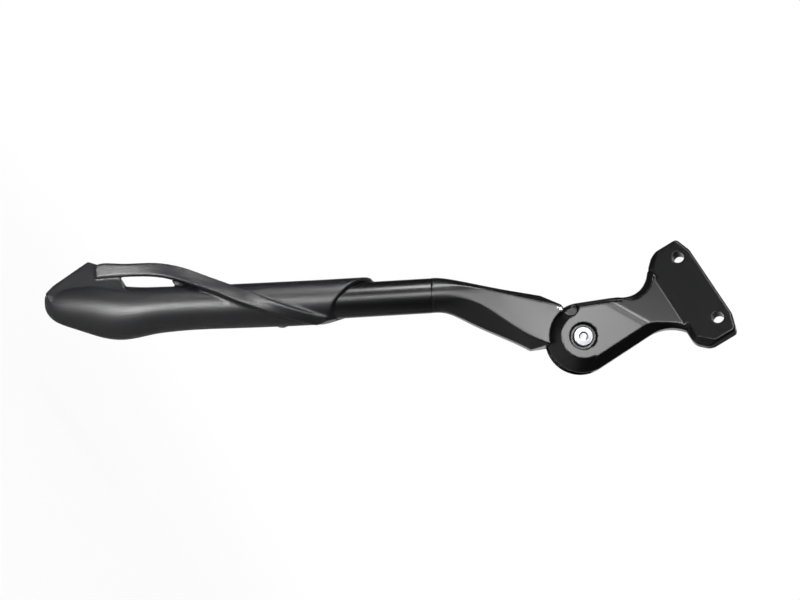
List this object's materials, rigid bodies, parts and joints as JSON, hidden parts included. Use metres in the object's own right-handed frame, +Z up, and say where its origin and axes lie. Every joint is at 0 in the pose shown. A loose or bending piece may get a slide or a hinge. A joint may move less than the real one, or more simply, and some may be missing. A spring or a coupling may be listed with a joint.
{
  "type": "bicycle kickstand",
  "caption": "Rear-mount bicycle side stand: two-hole clevis bracket, hinged forged leg, tube and sliding moulded foot with a helical ribbon.",
  "frame": {"origin": "middle of the two bolt holes on the plate's mounting face", "axes": "X rearward along the hole line, Y into the bicycle frame, normal to the mounting face, Z up"},
  "size_m": [0.189, 0.1019, 0.3046],
  "materials": {
    "bracket_black": "satin",
    "leg_black": "satin",
    "tube_black": "satin",
    "foot_nylon": "fine grain",
    "bolt_zinc": "bright zinc",
    "screw_black": "black oxide",
    "washer_polymer": "plain",
    "plug_polymer": "plain",
    "bush_bronze": "sintered",
    "hardened_steel": "ground",
    "spring_steel": "drawn"
  },
  "bodies": {
    "bracket": {"mounting_bracket": "bracket_black", "pivot_bolt": "bolt_zinc", "pivot_washer": "bolt_zinc", "pivot_nut": "bolt_zinc", "thrust_washer_front": "washer_polymer", "thrust_washer_rear": "washer_polymer", "detent_cam": "hardened_steel"},
    "leg": {"upper_leg": "leg_black", "lower_tube": "tube_black", "tube_pin": "spring_steel", "tube_plug": "plug_polymer", "bush_front": "bush_bronze", "bush_rear": "bush_bronze", "detent_spring": "spring_steel", "spring_seat": "hardened_steel"},
    "plunger": {"detent_plunger": "hardened_steel"},
    "foot": {"foot_sleeve": "foot_nylon", "length_nut": "bolt_zinc", "length_screw": "screw_black"}
  },
  "joints": [
    {"name": "leg_fold", "type": "hinge", "parent": "bracket", "child": "leg", "pos_m": [-0.0065, -0.0146, -0.0662], "axis": [0.3125, -0.9394, 0.1409], "range_deg": [0, 95]},
    {"name": "detent_travel", "type": "slide", "parent": "leg", "child": "plunger", "axis": [-0.6731, -0.3236, -0.665], "range_m": [-0.00055, 0], "stiffness_N_per_m": 4000, "deforming": ["detent_spring"]},
    {"name": "length_adjust", "type": "slide", "parent": "leg", "child": "foot", "axis": [-0.3972, -0.264, -0.879], "range_m": [-0.02, 0.03]}
  ]
}
